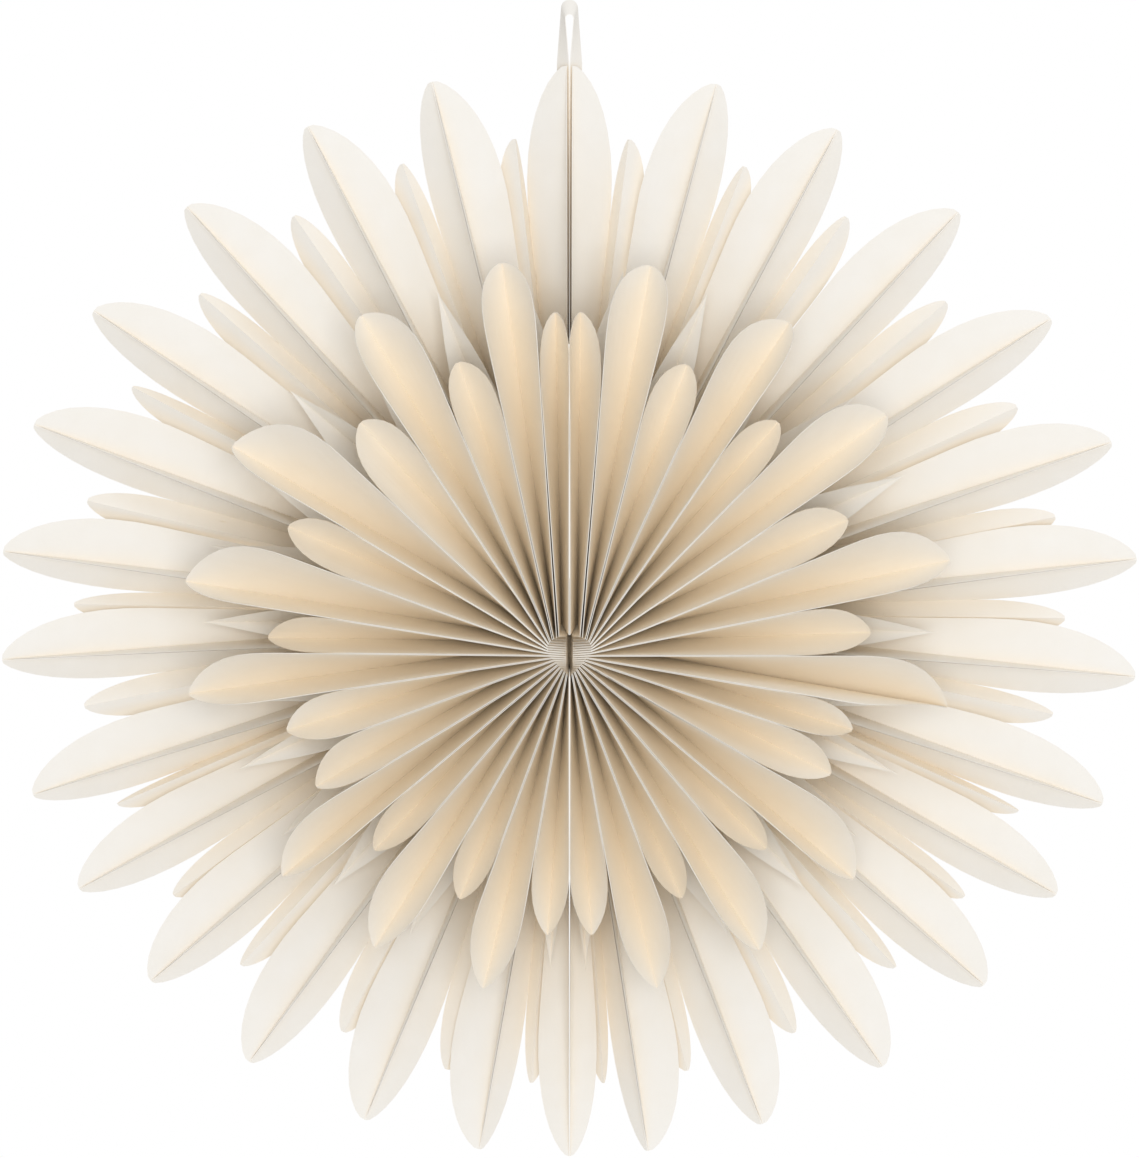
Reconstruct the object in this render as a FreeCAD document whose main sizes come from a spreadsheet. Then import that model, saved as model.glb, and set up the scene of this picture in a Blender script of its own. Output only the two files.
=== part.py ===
"""Hanging paper star: two rosettes of folded double-ended paper leaves on one hub, with a loop to hang it by.

The star stands in the XZ plane and faces -Y. Every leaf is one folded sheet that runs from a petal on the
right, through the hub, to the matching petal on the left. The origin is the point where the loop hangs.
Angles run in degrees from the top seam, down the right side or down the left side. Depth is the distance
in front of the plane of the long petals. All lengths are in millimetres.
"""
import FreeCAD
import Part
import Sketcher
import math
import os

SIZES = {
    "paper_thickness": 0.25,
    "glue_gap": 0.1,          # clear space between two sheets that lie against each other
    "fold_nose": 0.5,         # most that a tight fold stands out past its fold line
    "knee_radius": 30.0,      # where a fold has opened enough for the sheet to keep its thickness all along
    # large rosette: radii of the petal tips and of the shoulders where the outlines start to round off
    "height_share": 0.974,    # the opened star is a little less high than it is wide
    "long_radius": 225.0,
    "middle_radius": 196.0,
    "small_radius": 145.0,
    "long_shoulder": 165.0,
    "middle_shoulder": 158.0,
    "ridge_shoulder": 62.0,
    "ridge_radius": 110.0,    # where a ridge, drawn on past its shoulder, reaches the fin depth
    # large rosette: widths of the wings beside a petal's centre line
    "upper_wing": 17.0,
    "lower_wing": 11.5,
    "seam_wing": 15.5,
    "middle_wing": 9.0,
    "narrow_angle": 12.0,     # petals closer together than this, in degrees, have narrower wings
    "valley_lead": 1.5,       # how far, in degrees, the small front petal lies below the middle petal
    "fin_lean": 1.6,          # how far the upright fin leans to the lower side at its shoulder
    # large rosette: depths at the outer end of each fold line
    "upper_edge_depth": -4.0,
    "back_fold_depth": -10.0,
    "middle_depth": -5.0,
    "middle_edge_depth": -12.0,
    "small_valley_depth": 7.0,
    "fin_depth": 20.0,
    # large rosette: depths at the hub
    "free_hub_depth": -5.0,
    "valley_hub_depth": 6.0,
    "back_hub_depth": -13.0,
    "middle_hub_depth": -6.0,
    # hub of the large rosette
    "hub_half_height": 14.0,
    "hub_half_width": 12.0,
    "hub_seam_width": 0.25,
    "seam_opening": 2.2,      # gap at the tip of the top petal, in front of the loop's tails
    # small rosette
    "front_long_radius": 151.5,
    "front_short_radius": 118.0,
    "front_top_radius": 130.0,
    "front_bottom_radius": 125.0,
    "front_long_shoulder": 112.0,
    "front_short_shoulder": 84.0,
    "front_long_depth": 27.0,
    "front_short_depth": 30.0,
    "front_hub_depth": 28.0,
    "front_ridge_depth": 52.0,
    "front_ridge_hub_depth": 56.0,
    "front_ridge_rise": 6.5,
    "heart_half_width": 8.5,
    "heart_top": 4.0,
    "heart_bottom": -12.5,
    "lobe_recess": 3.5,       # how far the inner end of a lobe lies behind its rim
    "slit_recess": 17.0,      # how far the middle of the heart lies behind its rim
    "slit_half_width": 1.3,
    "heart_dip": 1.2,         # how far the leaves sag between the lobes, where the heart is widest
    "seat_gap": 0.3,          # between the backs of the front leaves and the ridges behind them
    # hanging loop: a strip whose back edge stands wider and higher than its front edge
    "loop_height": 19.5,
    "loop_front_half_width": 1.5,
    "loop_back_half_width": 3.0,
    "loop_back_rise": 5.0,
    "loop_foot_half_width": 4.6,
    "loop_set_back": 0.5,     # from the seam to the strip's front edge
    "loop_depth": 4.6,
    "loop_strip_thickness": 0.3,
    "loop_tail_length": 110.0,
}

# Angles of the long petals' centre lines and of the middle petals between them, on each side.
LONG_ANGLES = {
    1: [0, 14.8, 27.7, 42.5, 57, 71.3, 83.8, 96.2, 110, 120.7, 132.8, 146.3, 160, 172, 180],
    -1: [0, 13.8, 27, 41.7, 56, 69.3, 83, 94.4, 109, 120, 132.2, 145.4, 158.7, 170.8, 180],
}
MIDDLE_ANGLES = {
    1: [6.8, 20.4, 33.6, 49, 64, 78, 90.3, 102, 114.4, 126.6, 138.4, 152.7, 166.1, 176],
    -1: [6.2, 19.5, 33.4, 47.7, 61.3, 76, 88.6, 101, 113.5, 126.4, 138, 152.5, 165.5, 175.5],
}
# Angles of the front rosette's valleys on each side, and which leaves are long.
FRONT_ANGLES = {
    1: [1.8, 12, 22.8, 34.3, 43.5, 54.6, 67, 79, 90, 102, 109.8, 119.5, 132.4, 139, 150.4, 158, 166.8, 176],
    -1: [
        2.4, 10, 21.5, 32.3, 43.5, 60.2, 68.5, 82.3, 91,
        99.8, 110, 122.5, 131.8, 139.4, 149.5, 158.5, 167, 176,
    ],
}
FRONT_LONG = [2, 4, 6, 8, 10, 13, 15, 17]

# Places across one large leaf at the hub, as shares of the leaf's own height there.
HUB_SHARES = {
    "free_edge": 0.80,
    "glue_b": 0.92,
    "ridge_b": 0.90,
    "valley": 0.50,
    "ridge_a": 0.10,
    "glue_a": 0.08,
    "back_fold": 0.22,
    "middle": 0.42,
    "middle_edge": 0.62,
}
OUTLINE_STEPS = 10
TIP_FULLNESS = {"long": 0.66, "middle": 0.62, "small": 1.4, "front": 0.8}
TIP_NOTCH = 0.4       # how far the cut edge dips in at a petal's centre line
LOBE_RISE = 0.6       # below 1, the rim of the heart is widest above its middle
SEAT_SHARE = 0.45     # most of a wing's width that the inside of a fold may take up
FLAT_TURN = 0.02      # folds that turn the sheet less than this are left flat
# How far each wing bows out backwards at its outer end, as a share of its width.
FRONT_BOW = 0.075
LONG_BOW = -0.04

doc = FreeCAD.newDocument("PaperStar")
sheet = doc.addObject("Spreadsheet::Sheet", "Sizes")
for row, (alias, value) in enumerate(SIZES.items(), start=1):
    sheet.set(f"A{row}", alias)
    sheet.set(f"B{row}", str(value))
    sheet.setAlias(f"B{row}", alias)
doc.recompute()


def size(alias):
    """The value of one named size in the sheet."""
    return float(sheet.get(alias))


PAPER = size("paper_thickness")
SHEET_PITCH = PAPER + size("glue_gap")
LOOP_TOP = size("long_radius") * size("height_share") + size("loop_height")


def blend(first, second, share):
    """The point or number at a share of the way from the first to the second."""
    return first + (second - first) * share


def star_point(side, radius, angle, depth, shift=0.0):
    """A point of the star; shift moves it along the star's plane, away from the top seam."""
    turn = math.radians(angle)
    across = radius * math.sin(turn) + shift * math.cos(turn)
    up = radius * math.cos(turn) - shift * math.sin(turn)
    return FreeCAD.Vector(side * across, -depth, up * size("height_share"))


class Fold:
    """A straight fold or edge of a leaf, from the hub out to a stated radius."""

    def __init__(self, start, end, start_radius, end_radius):
        self.start = start
        self.end = end
        self.start_radius = start_radius
        self.end_radius = end_radius
        self.along = (end - start).normalize()

    def share(self, radius):
        return (radius - self.start_radius) / (self.end_radius - self.start_radius)

    def at(self, radius):
        return blend(self.start, self.end, self.share(radius))


def across_fold(first, second, along):
    """Direction from the first point to the second, square to the fold."""
    step = second - first
    step = step - along * step.dot(along)
    return step.normalize()


def skin_offsets(folds, index, radius, side):
    """Offsets from a fold line to the sheet's two faces, mitred where the sheet turns."""
    fold = folds[index]
    half = PAPER / 2
    here = fold.at(radius)
    before = folds[index - 1].at(radius) if index > 0 else None
    after = folds[index + 1].at(radius) if index + 1 < len(folds) else None
    if before is None or after is None:
        ends = (here, after) if before is None else (before, here)
        step = across_fold(*ends, fold.along)
        normal = fold.along.cross(step) * side
        return normal * half, normal * -half
    coming = across_fold(before, here, fold.along)
    going = across_fold(here, after, fold.along)
    normal = fold.along.cross(coming) * side
    inward = going - coming
    if inward.Length < FLAT_TURN:
        return normal * half, normal * -half
    inward.normalize()
    half_sine = math.sqrt(max(1e-6, (1 + coming.dot(going)) / 2))
    room = SEAT_SHARE * min(before.distanceToPoint(here), here.distanceToPoint(after))
    hollow = inward * min(half / half_sine, room)
    nose = inward * -min(half / half_sine, size("fold_nose"))
    return (hollow, nose) if normal.dot(inward) > 0 else (nose, hollow)


class Half:
    """One end of a leaf: its folds, and the sheet's two faces along each of them."""

    def __init__(self, folds, side):
        self.folds = folds
        knee = size("knee_radius")
        self.hub_offsets = [skin_offsets(folds, i, fold.start_radius, side) for i, fold in enumerate(folds)]
        self.knee_offsets = [skin_offsets(folds, i, knee, side) for i in range(len(folds))]
        self.end_offsets = [skin_offsets(folds, i, fold.end_radius, side) for i, fold in enumerate(folds)]

    def hub_point(self, index, skin):
        return self.folds[index].start + self.hub_offsets[index][skin]

    def face_point(self, index, skin, radius):
        """A point of one face on a fold line, at the knee or further out."""
        fold = self.folds[index]
        share = (radius - size("knee_radius")) / (fold.end_radius - size("knee_radius"))
        return fold.at(radius) + blend(self.knee_offsets[index][skin], self.end_offsets[index][skin], share)

    def line(self, index, skin):
        """One face's points along a fold, from its outer end in to the hub."""
        radii = (self.folds[index].end_radius, size("knee_radius"))
        outer = [self.face_point(index, skin, radius) for radius in radii]
        return outer + [self.hub_point(index, skin)]


def outline(centre_radius, shoulder_radius, fullness):
    """Shares across a wing and radii of its cut edge, from the petal's centre line to its shoulder."""
    tip = (0.0, centre_radius - TIP_NOTCH)
    if fullness is None:
        return [tip, (1.0, shoulder_radius)]
    points = [tip]
    for step in range(1, OUTLINE_STEPS + 1):
        turn = math.radians(90.0 * step / OUTLINE_STEPS)
        share = math.sin(turn) ** (2 * fullness)
        points.append((share, blend(shoulder_radius, centre_radius, math.cos(turn))))
    return points


def wing_outline(half, index, fullness):
    """The cut edge of the wing between two neighbouring folds, from the first to the second."""
    first = half.folds[index].end_radius
    second = half.folds[index + 1].end_radius
    if first >= second:
        return outline(first, second, fullness)
    return [(1 - share, radius) for share, radius in reversed(outline(second, first, fullness))]


def facet_net(rows):
    """A face of straight-edged facets between rows that have as many points each."""
    sizes = (len(rows), len(rows[0]))
    multiplicities = [[2] + [1] * (count - 2) + [2] for count in sizes]
    knots = [[place / (count - 1) for place in range(count)] for count in sizes]
    surface = Part.BSplineSurface()
    surface.buildFromPolesMultsKnots(rows, *multiplicities, *knots, False, False, 1, 1)
    return surface.toShape()


def across_wing(first, second, cut):
    """Points on the straight line from the first to the second, at the shares of a wing's cut edge."""
    return [blend(first, second, share) for share, _ in cut]


def bowed_points(half, index, skin, cut, bow):
    """Points along a wing's cut edge, on a wing that bows out backwards between its two folds."""
    points = []
    for share, radius in cut:
        first = half.face_point(index, skin, radius)
        across = half.face_point(index + 1, skin, radius) - first
        backward = half.folds[index].along.cross(across)
        if backward.y < 0:
            backward = backward * -1
        swell = 4 * bow * share * (1 - share) * across.Length
        points.append(first + across * share + backward.normalize() * swell)
    return points


def leaf_shape(right, left, fullness, bows, middle=None):
    """One folded sheet from its right end through the hub to its left end, as a solid.

    fullness holds, for each wing, how round its cut edge is, or None for a straight one, and bows how far the
    wing bows out. middle, where given, holds for each fold its points between the two sides of the hub.
    """
    faces = []
    count = len(right.folds)
    knee = size("knee_radius")
    for index in range(count - 1):
        hub_rows = {}
        for half in (right, left):
            cut = wing_outline(half, index, fullness[index])
            tips = []
            for skin in (0, 1):
                hub = across_wing(half.hub_point(index, skin), half.hub_point(index + 1, skin), cut)
                bend = across_wing(
                    half.face_point(index, skin, knee), half.face_point(index + 1, skin, knee), cut
                )
                tips.append(bowed_points(half, index, skin, cut, bows[index]))
                hub_rows[half, skin] = hub
                faces.append(facet_net([hub, bend, tips[-1]]))
            faces.append(facet_net(tips))
        cut = wing_outline(right, index, fullness[index])
        for skin in (0, 1):
            lines = [middle_points(right, left, middle, i, skin) for i in (index, index + 1)]
            bridge = [across_wing(first, second, cut) for first, second in zip(*lines)]
            faces.append(facet_net([hub_rows[right, skin], *bridge, hub_rows[left, skin]]))
    for index in (0, count - 1):
        lines = []
        for skin in (0, 1):
            bridge = middle_points(right, left, middle, index, skin)
            lines.append(right.line(index, skin) + bridge + left.line(index, skin)[::-1])
        faces.append(facet_net(lines))
    shell = Part.makeShell(faces)
    shell.sewShape()
    solid = Part.makeSolid(shell)
    if solid.Volume < 0:
        solid.reverse()
    return solid


def middle_points(right, left, middle, index, skin):
    """Face points between the two sides of the hub: the fold's own points, offset as its two ends are."""
    if middle is None:
        return []
    offset = (right.hub_offsets[index][skin] + left.hub_offsets[index][skin]) * 0.5
    return [point + FreeCAD.Vector(0, offset.y, offset.z) for point in middle[index]]


def add_leaf(name, label_shape):
    """Put a finished sheet into the document, with the hub where the loop's height leaves it."""
    leaf = doc.addObject("Part::Feature", name)
    leaf.Label = name
    leaf.Shape = label_shape
    leaf.Placement = FreeCAD.Placement(FreeCAD.Vector(0, 0, -LOOP_TOP), FreeCAD.Rotation())
    return leaf


# --- large rosette -------------------------------------------------------------------------------------

LARGE_COUNT = len(LONG_ANGLES[1]) - 1
LARGE_HUB_RADIUS = size("hub_half_width")
RIDGE_HUB_DEPTH = size("front_hub_depth") - size("seat_gap") - PAPER - size("fold_nose")


def large_hub_point(side, leaf, share, depth):
    """A point on the large rosette's hub, at a share of the way down one leaf."""
    down = (leaf + share) / LARGE_COUNT
    across = blend(size("hub_seam_width"), size("hub_half_width"), math.sin(math.pi * down))
    return FreeCAD.Vector(side * across, -depth, size("hub_half_height") * (1 - 2 * down))


def large_half(side, leaf):
    """The folds of one end of a large leaf, in order along the sheet.

    The sheet starts at the free edge of the upper wing of its lower long petal, turns forward at that petal's
    centre line, folds into the small front valley, comes back along the upper long petal's centre line, and
    ends behind, past the middle petal.
    """
    angle_a = LONG_ANGLES[side][leaf]
    angle_b = LONG_ANGLES[side][leaf + 1]
    middle = MIDDLE_ANGLES[side][leaf]
    last = leaf == LARGE_COUNT - 1
    glue_a = size("seam_opening") / 2 if leaf == 0 else SHEET_PITCH / 2
    glue_b = SHEET_PITCH / 2
    lower_wing = size("seam_wing") if leaf == 0 else size("lower_wing")
    upper_wing = size("seam_wing") if last else size("upper_wing")
    lean_a = 0.0 if leaf == 0 else size("fin_lean")
    lean_b = 0.0 if last else size("fin_lean")
    narrow = min(1.0, (angle_b - angle_a) / size("narrow_angle"))
    lower_wing = lower_wing * narrow
    upper_wing = upper_wing * narrow
    middle_wing = size("middle_wing") * narrow

    def fold(name, radius, angle, depth, shift, hub_depth):
        start = large_hub_point(side, leaf, HUB_SHARES[name], hub_depth)
        end = star_point(side, radius, angle, depth, shift)
        return Fold(start, end, LARGE_HUB_RADIUS, radius)

    def ridge(name, angle, shift):
        whole = fold(name, size("ridge_radius"), angle, size("fin_depth"), shift, RIDGE_HUB_DEPTH)
        shoulder = size("ridge_shoulder")
        return Fold(whole.start, whole.at(shoulder), LARGE_HUB_RADIUS, shoulder)

    return [
        fold("free_edge", size("long_shoulder"), angle_b, size("upper_edge_depth"), -upper_wing,
             size("free_hub_depth")),
        fold("glue_b", size("long_radius"), angle_b, 0.0, -glue_b, 0.0),
        ridge("ridge_b", angle_b, lean_b - glue_b),
        fold("valley", size("small_radius"), middle + size("valley_lead"), size("small_valley_depth"), 0.0,
             size("valley_hub_depth")),
        ridge("ridge_a", angle_a, lean_a + glue_a),
        fold("glue_a", size("long_radius"), angle_a, 0.0, glue_a, 0.0),
        fold("back_fold", size("middle_shoulder"), angle_a, size("back_fold_depth"), lower_wing,
             size("back_hub_depth")),
        fold("middle", size("middle_radius"), middle, size("middle_depth"), 0.0, size("middle_hub_depth")),
        fold("middle_edge", size("middle_shoulder"), middle, size("middle_edge_depth"), middle_wing,
             size("back_hub_depth")),
    ]


LARGE_FULLNESS = [
    TIP_FULLNESS["long"],
    None,
    TIP_FULLNESS["small"],
    TIP_FULLNESS["small"],
    None,
    TIP_FULLNESS["long"],
    TIP_FULLNESS["middle"],
    TIP_FULLNESS["middle"],
]

LARGE_BOWS = [LONG_BOW] + [0.0] * (len(LARGE_FULLNESS) - 1)

parts = []
for leaf in range(LARGE_COUNT):
    ends = [Half(large_half(side, leaf), side) for side in (1, -1)]
    parts.append(add_leaf(f"large_leaf_{leaf + 1:02d}", leaf_shape(*ends, LARGE_FULLNESS, LARGE_BOWS)))

# --- small rosette in front ----------------------------------------------------------------------------

SMALL_COUNT = len(FRONT_ANGLES[1])
SMALL_HUB_RADIUS = size("heart_half_width")


def heart_point(side, place, depth):
    """A point on the rim of the heart, at a place counted in leaves from the top seam."""
    down = place / SMALL_COUNT
    bulge = math.sin(math.pi * down ** LOBE_RISE)
    across = blend(SHEET_PITCH / 2, size("heart_half_width"), bulge)
    return FreeCAD.Vector(side * across, -depth, blend(size("heart_top"), size("heart_bottom"), down))


def heart_points(fold):
    """A fold's points between the two sides of the heart: down one lobe, into the slit, and up the other."""
    dip = FreeCAD.Vector(0, 0, size("heart_dip") * abs(fold.start.x) / size("heart_half_width"))
    lobe_across = min(size("slit_half_width"), abs(fold.start.x) / 2)
    is_ridge = -fold.start.y > size("front_hub_depth") + PAPER
    points = []
    for across in (lobe_across, 0.0, -lobe_across):
        recess = size("lobe_recess") if across else size("slit_recess")
        back = recess if is_ridge else 0.0
        points.append(FreeCAD.Vector(across, fold.start.y + back, fold.start.z) - dip)
    return points


def ridge_angle(side, place):
    """Angle of the ridge between two front valleys; the first and last ridges lie on the seams."""
    angles = FRONT_ANGLES[side]
    if place == 0:
        return 0.0
    if place == len(angles):
        return 180.0
    return (angles[place - 1] + angles[place]) / 2


def front_half(side, leaf):
    """The ridge, valley and ridge of one end of a front leaf."""
    is_long = leaf + 1 in FRONT_LONG
    radius = size("front_long_radius") if is_long else size("front_short_radius")
    if leaf == 0:
        radius = size("front_top_radius")
    if leaf == SMALL_COUNT - 1:
        radius = size("front_bottom_radius")
    shoulder = size("front_long_shoulder") if is_long else size("front_short_shoulder")
    valley_depth = size("front_long_depth") if is_long else size("front_short_depth")
    gap_share = SHEET_PITCH / 2 / ((size("heart_top") - size("heart_bottom")) / SMALL_COUNT)

    def ridge(place, sign):
        on_seam = place in (0, SMALL_COUNT)
        rim_place = place if on_seam else place + sign * gap_share
        start = heart_point(side, rim_place, size("front_ridge_hub_depth"))
        end = star_point(
            side, size("front_long_shoulder"), ridge_angle(side, place), size("front_ridge_depth"),
            sign * SHEET_PITCH / 2,
        ) + FreeCAD.Vector(0, 0, size("front_ridge_rise"))
        whole = Fold(start, end, SMALL_HUB_RADIUS, size("front_long_shoulder"))
        return Fold(start, whole.at(shoulder), SMALL_HUB_RADIUS, shoulder)

    valley_start = heart_point(side, leaf + 0.5, size("front_hub_depth"))
    valley_end = star_point(side, radius, FRONT_ANGLES[side][leaf], valley_depth)
    return [ridge(leaf, 1), Fold(valley_start, valley_end, SMALL_HUB_RADIUS, radius), ridge(leaf + 1, -1)]


for leaf in range(SMALL_COUNT):
    ends = [Half(front_half(side, leaf), side) for side in (1, -1)]
    middle = [heart_points(fold) for fold in ends[0].folds]
    if leaf == 0:
        # The top leaf closes the heart with a lip that runs straight across.
        lip = ends[0].folds[0].start
        middle[0] = [FreeCAD.Vector(point.x, lip.y, point.z) for point in middle[0]]
    shape = leaf_shape(*ends, [TIP_FULLNESS["front"]] * 2, [FRONT_BOW] * 2, middle)
    parts.append(add_leaf(f"small_leaf_{leaf + 1:02d}", shape))

# --- hanging loop --------------------------------------------------------------------------------------

body = doc.addObject("PartDesign::Body", "hanger_loop")
body.Label = "hanger_loop"

# Corners of the strip, seen from the front: distance from the middle and height, as expressions on the sheet.
# The strip comes down from the arch. Its front edges close in the seam at the top petal's tip, its back edges
# spread behind the petal, and both end in a straight tail.
FOOT = "-Sizes.loop_height"
TAIL_END = f"{FOOT} - Sizes.loop_tail_length"


def corner_point(side, corner):
    """Where a corner lies for the sizes now in the sheet."""
    across, height = (float(sheet.evalExpression(text)) for text in corner)
    return FreeCAD.Vector(side * across, height, 0)


def loop_sketch(name, arch, spring, tail, offset):
    """The strip's outline at one of its two long edges, from expressions.

    arch is half the clear width of the arch, spring the height where it springs, tail half the clear width
    between the tails, and offset the sketch's distance in front of the seam.
    """
    sketch = body.newObject("Sketcher::SketchObject", name)
    sketch.AttachmentSupport = [(front_plane, "")]
    sketch.MapMode = "FlatFace"
    sketch.setExpression("AttachmentOffset.Base.z", offset)
    tail_outside = f"{tail} + Sizes.loop_strip_thickness"
    corners = [
        (arch, spring),
        (tail, FOOT),
        (tail, TAIL_END),
        (tail_outside, TAIL_END),
        (tail_outside, FOOT),
        (f"{arch} + Sizes.loop_strip_thickness", spring),
    ]

    def pin(line, end, side, corner):
        point = corner_point(side, corner)
        texts = {"DistanceX": f"{side} * ({corner[0]})", "DistanceY": corner[1]}
        for kind, value in (("DistanceX", point.x), ("DistanceY", point.y)):
            number = sketch.addConstraint(Sketcher.Constraint(kind, -1, 1, line, end, value))
            sketch.setExpression(f"Constraints[{number}]", texts[kind])

    sides = {}
    for side in (1, -1):
        lines = []
        for first, second in zip(corners, corners[1:]):
            segment = Part.LineSegment(corner_point(side, first), corner_point(side, second))
            lines.append(sketch.addGeometry(segment, False))
            pin(lines[-1], 1, side, first)
        pin(lines[-1], 2, side, corners[-1])
        for before, after in zip(lines, lines[1:]):
            sketch.addConstraint(Sketcher.Constraint("Coincident", before, 2, after, 1))
        sides[side] = lines

    for line_place, end, corner in ((0, 1, corners[0]), (-1, 2, corners[-1])):
        right_end = corner_point(1, corner)
        crown = FreeCAD.Vector(0, right_end.y + right_end.x, 0)
        bow = sketch.addGeometry(Part.Arc(right_end, crown, corner_point(-1, corner)), False)
        sketch.addConstraint(Sketcher.Constraint("Coincident", bow, 1, sides[1][line_place], end))
        sketch.addConstraint(Sketcher.Constraint("Coincident", bow, 2, sides[-1][line_place], end))
        number = sketch.addConstraint(Sketcher.Constraint("DistanceY", -1, 1, bow, 3, right_end.y))
        sketch.setExpression(f"Constraints[{number}]", spring)
    return sketch


front_plane = [feature for feature in body.Origin.OriginFeatures if feature.Role == "XZ_Plane"][0]
front_edge = loop_sketch(
    "loop_front_edge",
    "Sizes.loop_front_half_width",
    "-Sizes.loop_front_half_width",
    "Sizes.glue_gap / 2",
    "-Sizes.loop_set_back",
)
back_edge = loop_sketch(
    "loop_back_edge",
    "Sizes.loop_back_half_width",
    "Sizes.loop_back_rise - Sizes.loop_back_half_width",
    "Sizes.loop_foot_half_width",
    "-Sizes.loop_set_back - Sizes.loop_depth",
)
doc.recompute()
strip = body.newObject("PartDesign::AdditiveLoft", "loop_strip")
strip.Profile = front_edge
strip.Sections = [back_edge]
strip.Ruled = True
body.Tip = strip
doc.recompute()
parts.append(body)

# --- checks and files ----------------------------------------------------------------------------------

for item in doc.Objects:
    if "Invalid" in item.State or "Error" in item.State:
        raise RuntimeError(f"{item.Label} failed: {item.State}")
os.makedirs("parts", exist_ok=True)
for part in parts:
    shape = part.Shape
    if shape.isNull() or not shape.isValid() or shape.Volume <= 0:
        raise RuntimeError(f"{part.Label} has no valid shape")
    print(f"{part.Label}: {len(shape.Solids)} solid, {shape.Volume / 1000:.3f} cm3")
for part in parts:
    part.Shape.exportStep(f"parts/{part.Label}.step")
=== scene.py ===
"""A hanging star of folded ivory paper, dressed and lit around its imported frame."""
import logging
import math
from dataclasses import dataclass
from enum import Enum

import bpy
from mathutils import Matrix, Vector


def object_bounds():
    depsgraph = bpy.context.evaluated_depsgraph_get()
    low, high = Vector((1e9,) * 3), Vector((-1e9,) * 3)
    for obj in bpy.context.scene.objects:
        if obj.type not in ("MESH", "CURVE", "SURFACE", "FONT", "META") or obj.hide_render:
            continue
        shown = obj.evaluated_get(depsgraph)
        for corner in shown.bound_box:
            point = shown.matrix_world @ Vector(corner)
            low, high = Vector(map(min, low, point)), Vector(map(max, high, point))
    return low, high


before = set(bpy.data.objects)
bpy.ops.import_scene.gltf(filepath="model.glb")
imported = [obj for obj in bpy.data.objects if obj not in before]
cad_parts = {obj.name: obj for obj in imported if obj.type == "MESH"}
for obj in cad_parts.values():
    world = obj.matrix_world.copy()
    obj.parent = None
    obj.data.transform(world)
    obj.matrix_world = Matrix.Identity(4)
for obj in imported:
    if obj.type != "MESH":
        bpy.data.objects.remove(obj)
CAD_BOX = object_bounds()

LOG = logging.getLogger("paper_star")
MM = 0.001

# How a sheet's colour goes from the bottom of a deep fold (0) out to the open paper (1): painted shade, darker and
# warmer deep in the folds, where light has passed from sheet to sheet and grown warmer; the open paper keeps the
# sheet's own ivory. The front leaves are the same paper, painted a shade darker and creamier for the light trapped
# among them.
IVORY_PAINTED_FOLD_SHADE = ((0.0, "#F8ECD9"), (0.3, "#F8F3EB"), (0.6, "#F8F5F1"), (1.0, "#F9F9F7"))
# The front leaves' colour: the same ivory paper, painted a shade darker and creamier all over for the light trapped
# among them, and darker still in their folds.
FRONT_PAINTED_SHADE = ((0.0, "#FAEEDA"), (0.2, "#F5F0E8"), (0.5, "#F3F0EB"), (1.0, "#F3F2EE"))


class Rosette(Enum):
    """The two layers of leaves, by the start of their node names."""

    BACK = "large_leaf_"
    FRONT = "small_leaf_"


def linear_colour(code: str) -> tuple[float, float, float, float]:
    """Turn an sRGB hex code into the linear colour that shaders take.

    Args:
        code: Six hex digits, with or without a leading '#'.

    Returns:
        Linear red, green, blue and an alpha of 1.
    """
    digits = code.lstrip("#")
    channels = [int(digits[i:i + 2], 16) / 255 for i in (0, 2, 4)]
    linear = [c / 12.92 if c <= 0.04045 else ((c + 0.055) / 1.055) ** 2.4 for c in channels]
    return (linear[0], linear[1], linear[2], 1.0)


def add_node(tree: bpy.types.NodeTree, kind: str, values: dict | None = None,
             links: dict | None = None) -> bpy.types.Node:
    """Add a shader node, set its values and link its inputs.

    Args:
        tree: The node tree to add to.
        kind: The node's type name.
        values: Input or property names and what they are set to.
        links: Input names, or their numbers, and the output sockets that feed them.

    Returns:
        The new node.
    """
    node = tree.nodes.new(kind)
    for name, value in (values or {}).items():
        if name in node.inputs:
            node.inputs[name].default_value = value
        else:
            setattr(node, name, value)
    for name, socket in (links or {}).items():
        tree.links.new(socket, node.inputs[name])
    return node


def dress(piece: bpy.types.Object, material: bpy.types.Material) -> None:
    """Give a piece one material all over."""
    piece.data.materials.clear()
    piece.data.materials.append(material)
    LOG.info("%s: %s", piece.name, material.name)


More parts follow.
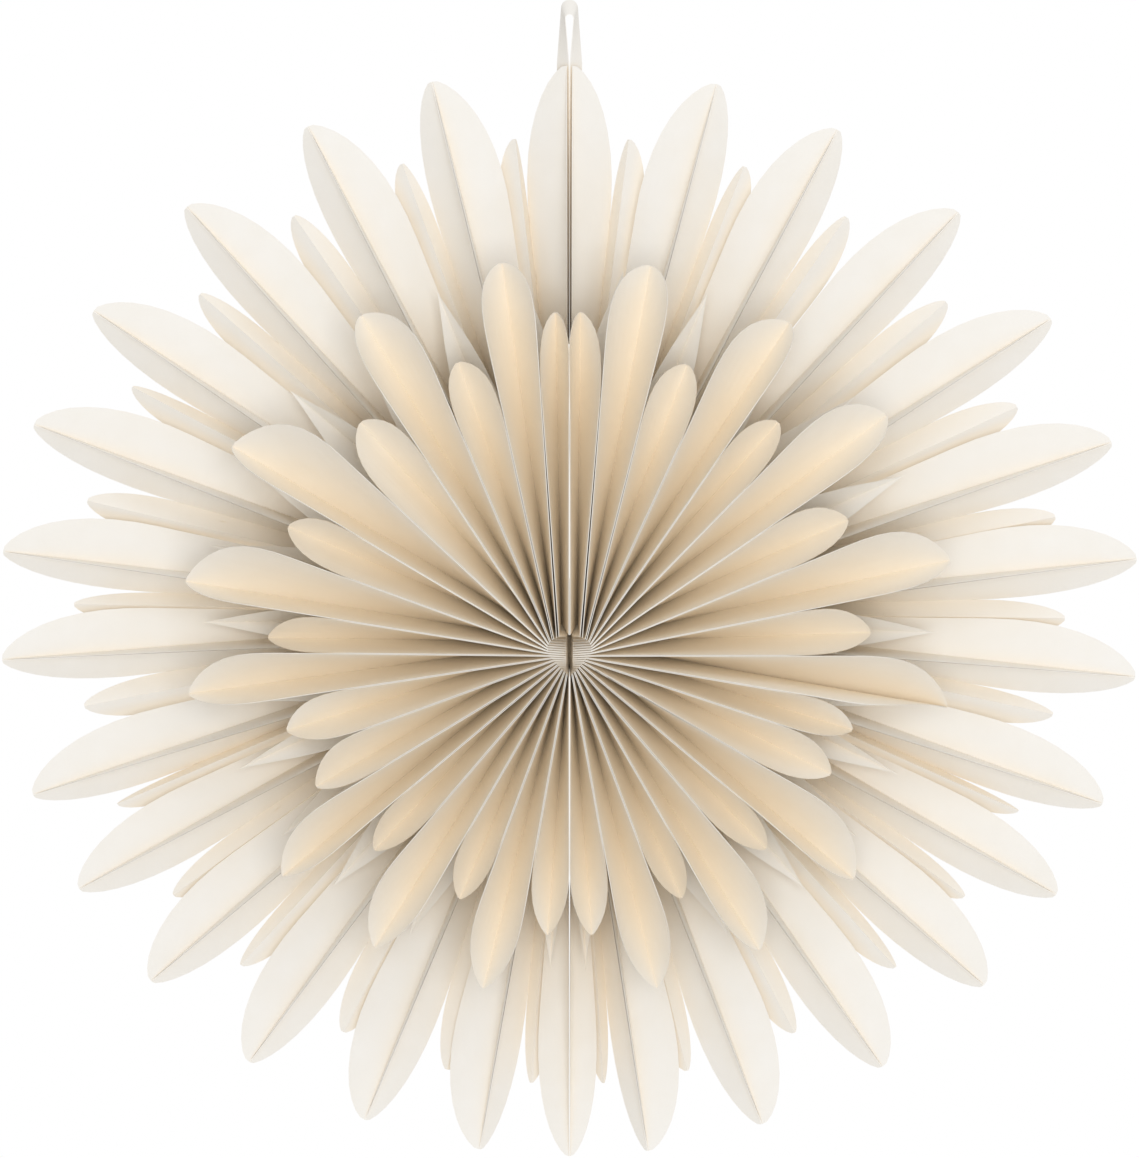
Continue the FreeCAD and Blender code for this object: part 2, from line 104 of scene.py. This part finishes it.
@dataclass(frozen=True)
class IvoryPaper:
    """Uncoated ivory drawing paper, calendered on the machine: matt and even, slightly cloudy, with short fibres,
    and with painted shade, darker and warmer, deep in its folds.
    """

    name: str
    # painted shade: colour stops from the bottom of a deep fold out to the open paper
    painted_fold_shade: tuple[tuple[float, str], ...] = IVORY_PAINTED_FOLD_SHADE
    fold_reach: float = 30 * MM      # how far off a sheet can be and still shade its neighbour
    shade_rays: int = 1              # each way that the light is followed; more only slow it
    cloud_shade: str = "#FBF9F5"
    cloud_size: float = 14 * MM      # the uneven formation seen when paper is held to light
    cloud_detail: float = 3.0
    fibre_size: float = 0.7 * MM     # real fibres are finer; drawn this coarse so that they show
    fibre_detail: float = 4.0
    fibre_tangle: float = 0.65
    grain_height: float = 0.02 * MM
    grain_strength: float = 0.5
    roughness: float = 0.78          # calendered, so a little smoother than raw paper, but with no shine
    ior: float = 1.45                # cellulose and filler
    surface_gloss: float = 0.25      # an uncoated sheet reflects less than a smooth one of the same IOR

    def build(self) -> bpy.types.Material:
        """Make the material.

        Returns:
            The finished material.
        """
        material = bpy.data.materials.new(self.name)
        material.use_nodes = True
        tree = material.node_tree
        tree.nodes.clear()
        place = add_node(tree, "ShaderNodeTexCoord").outputs["Object"]
        cloud = add_node(tree, "ShaderNodeTexNoise",
                         {"Scale": 1 / self.cloud_size, "Detail": self.cloud_detail}, {"Vector": place})
        fibre = add_node(tree, "ShaderNodeTexNoise",
                         {"Scale": 1 / self.fibre_size, "Detail": self.fibre_detail,
                          "Roughness": self.fibre_tangle}, {"Vector": place})
        # Painted shade: how shut in each point is by nearby sheets darkens and warms its colour deep in the folds.
        fold_shade_mask = add_node(tree, "ShaderNodeAmbientOcclusion",
                            {"samples": self.shade_rays, "Distance": self.fold_reach})
        ramp = add_node(tree, "ShaderNodeValToRGB", None, {"Fac": fold_shade_mask.outputs["AO"]})
        stops = ramp.color_ramp.elements
        for position, _ in self.painted_fold_shade[1:-1]:
            stops.new(position)
        for stop, (position, shade) in zip(stops, self.painted_fold_shade):
            stop.position = position
            stop.color = linear_colour(shade)
        tint = add_node(tree, "ShaderNodeMix", {"data_type": "RGBA", "blend_type": "MULTIPLY"},
                        {"Factor": cloud.outputs["Fac"]})
        shade_a, shade_b = (socket for socket in tint.inputs if socket.type == "RGBA")
        tree.links.new(ramp.outputs["Color"], shade_a)
        shade_b.default_value = linear_colour(self.cloud_shade)
        mixed = next(socket for socket in tint.outputs if socket.type == "RGBA")
        bump = add_node(tree, "ShaderNodeBump", {"Strength": self.grain_strength, "Distance": self.grain_height},
                        {"Height": fibre.outputs["Fac"]})
        surface = add_node(tree, "ShaderNodeBsdfPrincipled",
                           {"Roughness": self.roughness, "IOR": self.ior,
                            "Specular IOR Level": self.surface_gloss},
                           {"Base Color": mixed, "Normal": bump.outputs["Normal"]})
        add_node(tree, "ShaderNodeOutputMaterial", None, {"Surface": surface.outputs["BSDF"]})
        return material


@dataclass
class Leaves:
    """One rosette's leaves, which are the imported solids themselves."""

    rosette: Rosette
    finish: IvoryPaper

    def build(self) -> None:
        """Give each leaf its paper."""
        paper = self.finish.build()
        for name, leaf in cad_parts.items():
            if name.startswith(self.rosette.value):
                dress(leaf, paper)


@dataclass(frozen=True)
class SoftLamp:
    """A square soft lamp that faces the hub."""

    name: str
    offset: tuple[float, float, float]    # from the hub, metres
    side: float                           # metres
    power: float                          # watts

    def build(self, hub: Vector) -> None:
        """Hang the lamp.

        Args:
            hub: The point that it faces.
        """
        data = bpy.data.lights.new(self.name, "AREA")
        data.shape = "SQUARE"
        data.size = self.side
        data.energy = self.power
        lamp = bpy.data.objects.new(self.name, data)
        lamp.location = hub + Vector(self.offset)
        lamp.rotation_euler = (-Vector(self.offset)).to_track_quat("-Z", "Y").to_euler()
        bpy.context.collection.objects.link(lamp)


@dataclass
class Studio:
    """Plain pale floor, soft light from above, in front and behind, and the camera."""

    picture_width: float = 449.0 * MM      # of the picture, at the plane of the long petals
    camera_distance: float = 3.0
    camera_pitch: float = math.radians(10.5)
    far_clip: float = 50.0
    hub_below_loop: float = 238.65 * MM
    hub_below_middle: float = 15.4 * MM    # how far the hub lies under the middle of the picture
    floor_side: float = 3.0
    floor_below_star: float = 1.25
    floor_colour: str = "#F2EFEA"
    room_colour: str = "#FFFBF7"
    room_light: float = 0.62
    lamps: tuple[SoftLamp, ...] = (SoftLamp("key", (0.4, -1.2, 1.6), 0.8, 3.5),
                                   SoftLamp("front", (0.2, -2.5, 0.3), 1.4, 22.0),
                                   SoftLamp("back", (0.4, 2.4, 1.0), 1.4, 16.0))

    def camera(self) -> None:
        """Stand the camera in front, a little above, looking down at the star."""
        look = Vector((0, math.cos(self.camera_pitch), -math.sin(self.camera_pitch)))
        up = Vector((0, math.sin(self.camera_pitch), math.cos(self.camera_pitch)))
        aim = Vector((0, 0, -self.hub_below_loop)) + up * self.hub_below_middle
        data = bpy.data.cameras.new("camera")
        data.sensor_fit = "HORIZONTAL"
        data.angle = 2 * math.atan(self.picture_width / 2 / self.camera_distance)
        data.clip_end = self.far_clip
        camera = bpy.data.objects.new("camera", data)
        bpy.context.collection.objects.link(camera)
        right = look.cross(up)
        camera.matrix_world = Matrix.Translation(aim - look * self.camera_distance) @ Matrix(
            (right, up, -look)).transposed().to_4x4()
        bpy.context.scene.camera = camera

    def floor(self) -> None:
        """Lay a plain pale floor well below the hanging star."""
        bpy.ops.object.select_all(action="DESELECT")
        height = CAD_BOX[0][2] - self.floor_below_star
        bpy.ops.mesh.primitive_plane_add(size=self.floor_side, location=(0, 0, height))
        floor = bpy.context.object
        floor.name = "floor"
        material = bpy.data.materials.new("pale_floor")
        material.use_nodes = True
        tree = material.node_tree
        tree.nodes.clear()
        matt = add_node(tree, "ShaderNodeBsdfDiffuse", {"Color": linear_colour(self.floor_colour)})
        add_node(tree, "ShaderNodeOutputMaterial", None, {"Surface": matt.outputs["BSDF"]})
        dress(floor, material)

    def room(self) -> None:
        """Light from all round, and a plain white behind the star, also in what shines or is seen through."""
        world = bpy.data.worlds.new("white_room")
        bpy.context.scene.world = world
        world.use_nodes = True
        tree = world.node_tree
        tree.nodes.clear()
        path = add_node(tree, "ShaderNodeLightPath").outputs
        seen = add_node(tree, "ShaderNodeMath", {"operation": "MAXIMUM"},
                        {0: path["Is Camera Ray"], 1: path["Is Glossy Ray"]})
        white_share = add_node(tree, "ShaderNodeMath", {"operation": "MAXIMUM"},
                               {0: seen.outputs[0], 1: path["Is Transmission Ray"]})
        light = add_node(tree, "ShaderNodeBackground",
                         {"Color": linear_colour(self.room_colour), "Strength": self.room_light})
        white = add_node(tree, "ShaderNodeBackground", {"Color": linear_colour("#FFFFFF"), "Strength": 1.0})
        mix = add_node(tree, "ShaderNodeMixShader", None,
                       {0: white_share.outputs[0], 1: light.outputs[0], 2: white.outputs[0]})
        add_node(tree, "ShaderNodeOutputWorld", None, {"Surface": mix.outputs[0]})

    def build(self) -> None:
        """Set the light, the floor and the camera."""
        bpy.context.scene.view_settings.view_transform = "Standard"
        self.room()
        hub = Vector((0, 0, -self.hub_below_loop))
        for lamp in self.lamps:
            lamp.build(hub)
        self.floor()
        self.camera()


def main() -> None:
    """Build the star and its studio."""
    logging.basicConfig(level=logging.INFO, format="%(message)s")
    Leaves(Rosette.BACK, IvoryPaper("ivory_paper_back")).build()
    # The front leaves are painted a shade darker and creamier than the back ones, for the light trapped among them.
    Leaves(Rosette.FRONT, IvoryPaper("ivory_paper_front", painted_fold_shade=FRONT_PAINTED_SHADE)).build()
    dress(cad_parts["hanger_loop"], IvoryPaper("ivory_paper_loop").build())
    Studio().build()


if __name__ == "__main__":
    main()
